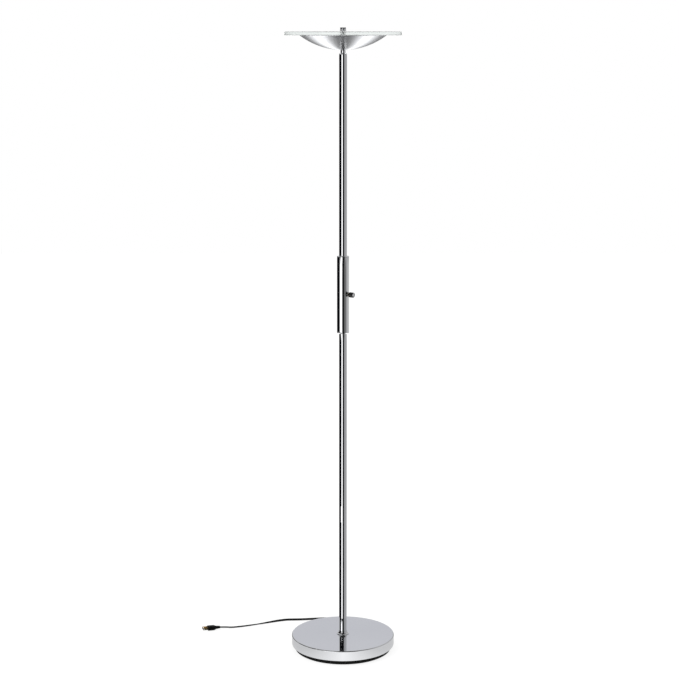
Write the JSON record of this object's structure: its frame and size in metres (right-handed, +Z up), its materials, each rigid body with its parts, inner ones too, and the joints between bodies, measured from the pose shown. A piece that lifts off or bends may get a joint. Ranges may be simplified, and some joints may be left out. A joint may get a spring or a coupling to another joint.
{
  "type": "torchiere floor lamp",
  "caption": "Uplighting floor lamp: weighted round chrome base, chrome pole with a dimmer sleeve and knob, shallow spun bowl under a wide glass disc held by a finial, flat mains cord.",
  "frame": {"origin": "middle of the base on the floor", "axes": "+Z up along the pole, -Y to the front, +X to the right; the knob points to the front right and the cord leaves the base at the back"},
  "size_m": [0.5911, 0.4106, 1.803],
  "materials": {
    "chrome": "polished chrome plate",
    "spun_metal": "spun and brushed, fine rings round the axis",
    "steel": "zinc-plated steel",
    "brass": "bright brass",
    "aluminium": "plain machined aluminium",
    "concrete": "rough cast concrete",
    "black_plastic": "satin moulded black plastic",
    "housing_plastic": "moulded black plastic housing",
    "knob_plastic": "glossy black plastic, finely fluted",
    "foot_rubber": "matt black rubber",
    "cord_sheath": "flexible black sheath, satin",
    "tie_strap": "black nylon strap",
    "led_board": "white solder mask with yellow emitters",
    "frosted_glass": "frosted on its faces, clear polished edge",
    "clear_rubber": "soft translucent washer"
  },
  "bodies": {
    "stand": {"base_cover": "chrome", "foot_collar": "chrome", "lower_pole": "chrome", "sleeve_lower_cap": "chrome", "dimmer_sleeve": "chrome", "sleeve_upper_cap": "chrome", "upper_pole": "chrome", "pole_top_plug": "chrome", "neck_spacer": "chrome", "glass_seat": "chrome", "finial": "chrome", "bowl": "spun_metal", "pan_screw_1": "steel", "pan_screw_2": "steel", "pan_screw_3": "steel", "base_stub": "steel", "base_washer": "steel", "base_nut": "steel", "foot_insert": "steel", "dimmer_washer": "steel", "dimmer_nut": "steel", "head_nipple": "steel", "bowl_washer": "steel", "head_lock_nut": "steel", "stud_coupling": "steel", "centre_stud": "steel", "dimmer_bushing": "brass", "plug_blade_wide": "brass", "plug_blade_narrow": "brass", "led_heat_sink": "aluminium", "base_weight": "concrete", "base_pan": "black_plastic", "strain_relief": "black_plastic", "plug_body": "black_plastic", "dimmer_body": "housing_plastic", "led_driver": "housing_plastic", "base_foot_ring": "foot_rubber", "supply_cable": "cord_sheath", "head_cable": "cord_sheath", "cord_lead_in": "cord_sheath", "cord_hank": "cord_sheath", "cord_run": "cord_sheath", "hank_tie_near": "tie_strap", "hank_tie_far": "tie_strap", "led_board": "led_board", "glass_disc": "frosted_glass", "glass_seat_washer": "clear_rubber", "finial_washer": "clear_rubber"},
    "knob": {"dimmer_shaft": "steel", "dimmer_knob": "knob_plastic"}
  },
  "joints": [
    {"name": "dimmer_turn", "type": "hinge", "parent": "stand", "child": "knob", "pos_m": [0.02955, -0.02309, 1.057], "axis": [-0.788, 0.6157, 0], "range_deg": [0, 270]}
  ]
}
